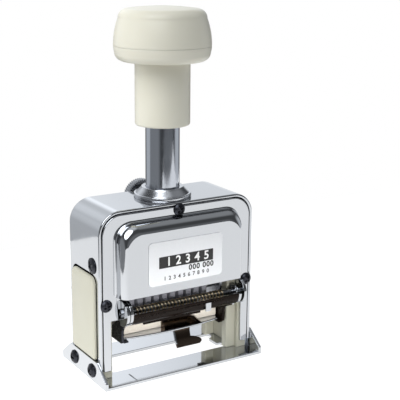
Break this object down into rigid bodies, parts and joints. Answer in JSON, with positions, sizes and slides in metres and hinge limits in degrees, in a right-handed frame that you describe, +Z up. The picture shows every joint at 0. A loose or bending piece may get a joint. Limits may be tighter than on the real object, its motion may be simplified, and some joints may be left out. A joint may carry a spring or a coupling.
{
  "type": "numbering machine",
  "caption": "Desk numbering machine: a knob pushes wheels of raised digits down through a window in the base, and an ink pad swings clear.",
  "frame": {"origin": "middle of the base plate's underside", "axes": "+X to the right seen from the front, +Y to the back, +Z up the plunger"},
  "size_m": [0.0714, 0.0374, 0.135],
  "materials": {
    "chrome": "bright chrome plate on pressed steel",
    "label_metal": "satin, bare",
    "cream_plastic": "moulded, semi-gloss",
    "panel_plastic": "moulded, satin",
    "black_screw": "black oxide, cross recess",
    "zinc_casting": "die cast, dull",
    "steel": "ground steel",
    "black_steel": "blackened",
    "wheel_metal": "dark, lightly oiled",
    "spring_brass": "drawn wire",
    "spring_steel": "drawn wire",
    "felt": "clean dry felt"
  },
  "bodies": {
    "frame": {"base_plate": "chrome", "outer_shell": "chrome", "front_plate": "chrome", "back_plate": "chrome", "left_guide": "panel_plastic", "right_guide": "panel_plastic", "head_block": "zinc_casting", "collar": "chrome", "label_plate": "label_metal", "front_screws": "black_screw", "back_screws": "black_screw", "side_screws": "black_screw", "base_screws": "black_screw", "pad_pivot_rod": "steel", "pad_return_spring": "spring_brass", "spring_bar": "steel", "spring_seat": "steel", "return_spring": "spring_steel"},
    "plunger": {"plunger_tube": "chrome", "tube_plug": "steel", "knob_cap": "cream_plastic", "knob_base": "cream_plastic", "handle_sleeve": "cream_plastic", "carriage_bridge": "zinc_casting", "left_side_plate": "steel", "right_side_plate": "steel", "wheel_axle": "steel", "axle_spacer": "steel", "feed_rod": "steel", "detent_rod": "steel", "detent_springs": "spring_brass"},
    "feed": {"feed_comb": "black_steel"},
    "detents": {"detent_pawls": "black_steel"},
    "repeat_wheel": {"repeat_ratchet": "wheel_metal"},
    "pad_arms": {"left_pad_arm": "chrome", "right_pad_arm": "chrome", "pad_bar": "black_steel"},
    "ink_drawer": {"pad_tray": "chrome", "ink_pad": "felt", "pull_tab": "chrome"},
    "dial": {"repeat_dial": "zinc_casting", "dial_shaft": "steel"},
    "wheel_1": {"number_wheel_1": "wheel_metal"},
    "wheel_2": {"number_wheel_2": "wheel_metal"},
    "wheel_3": {"number_wheel_3": "wheel_metal"},
    "wheel_4": {"number_wheel_4": "wheel_metal"},
    "wheel_5": {"number_wheel_5": "wheel_metal"},
    "wheel_6": {"number_wheel_6": "wheel_metal"},
    "wheel_7": {"number_wheel_7": "wheel_metal"},
    "wheel_8": {"number_wheel_8": "wheel_metal"},
    "wheel_9": {"number_wheel_9": "wheel_metal"}
  },
  "joints": [
    {"name": "plunger_slide", "type": "slide", "parent": "frame", "child": "plunger", "axis": [0, 0, -1], "range_m": [0, 0.018], "stiffness_N_per_m": 500, "springref_m": -0.012, "deforming": ["return_spring"]},
    {"name": "pad_swing", "type": "hinge", "parent": "frame", "child": "pad_arms", "pos_m": [0, -0.0124, 0.026], "axis": [-1, 0, 0], "range_deg": [0, 90]},
    {"name": "feed_rock", "type": "hinge", "parent": "plunger", "child": "feed", "pos_m": [0, 0.0128, 0.0362], "axis": [-1, 0, 0], "range_deg": [0, 18]},
    {"name": "detent_lift", "type": "hinge", "parent": "plunger", "child": "detents", "pos_m": [0, 0.0128, 0.0234], "axis": [1, 0, 0], "range_deg": [0, 12], "stiffness_Nm_per_rad": 0.002, "springref_deg": -5.73},
    {"name": "drawer_pull", "type": "slide", "parent": "pad_arms", "child": "ink_drawer", "axis": [0, -1, 0], "range_m": [0, 0.012]},
    {"name": "dial_turn", "type": "hinge", "parent": "frame", "child": "dial", "pos_m": [-0.001, 0.015, 0.0612], "axis": [0, 1, 0], "range_deg": [0, 300]},
    {"name": "wheel_1_turn", "type": "hinge", "parent": "plunger", "child": "wheel_1", "pos_m": [0, 0, 0.0283], "axis": [1, 0, 0], "continuous": true},
    {"name": "wheel_2_turn", "type": "hinge", "parent": "plunger", "child": "wheel_2", "pos_m": [0, 0, 0.0283], "axis": [1, 0, 0], "continuous": true},
    {"name": "wheel_3_turn", "type": "hinge", "parent": "plunger", "child": "wheel_3", "pos_m": [0, 0, 0.0283], "axis": [1, 0, 0], "continuous": true},
    {"name": "wheel_4_turn", "type": "hinge", "parent": "plunger", "child": "wheel_4", "pos_m": [0, 0, 0.0283], "axis": [1, 0, 0], "continuous": true},
    {"name": "wheel_5_turn", "type": "hinge", "parent": "plunger", "child": "wheel_5", "pos_m": [0, 0, 0.0283], "axis": [1, 0, 0], "continuous": true},
    {"name": "wheel_6_turn", "type": "hinge", "parent": "plunger", "child": "wheel_6", "pos_m": [0, 0, 0.0283], "axis": [1, 0, 0], "continuous": true},
    {"name": "wheel_7_turn", "type": "hinge", "parent": "plunger", "child": "wheel_7", "pos_m": [0, 0, 0.0283], "axis": [1, 0, 0], "continuous": true},
    {"name": "wheel_8_turn", "type": "hinge", "parent": "plunger", "child": "wheel_8", "pos_m": [0, 0, 0.0283], "axis": [1, 0, 0], "continuous": true},
    {"name": "wheel_9_turn", "type": "hinge", "parent": "plunger", "child": "wheel_9", "pos_m": [0, 0, 0.0283], "axis": [1, 0, 0], "continuous": true},
    {"name": "repeat_turn", "type": "hinge", "parent": "plunger", "child": "repeat_wheel", "pos_m": [0, 0, 0.0283], "axis": [1, 0, 0], "continuous": true}
  ],
  "couplings": [
    {"joint": "pad_swing", "follows": "plunger_slide", "rad_per_m": 87.2},
    {"joint": "feed_rock", "follows": "plunger_slide", "rad_per_m": 17.4}
  ]
}
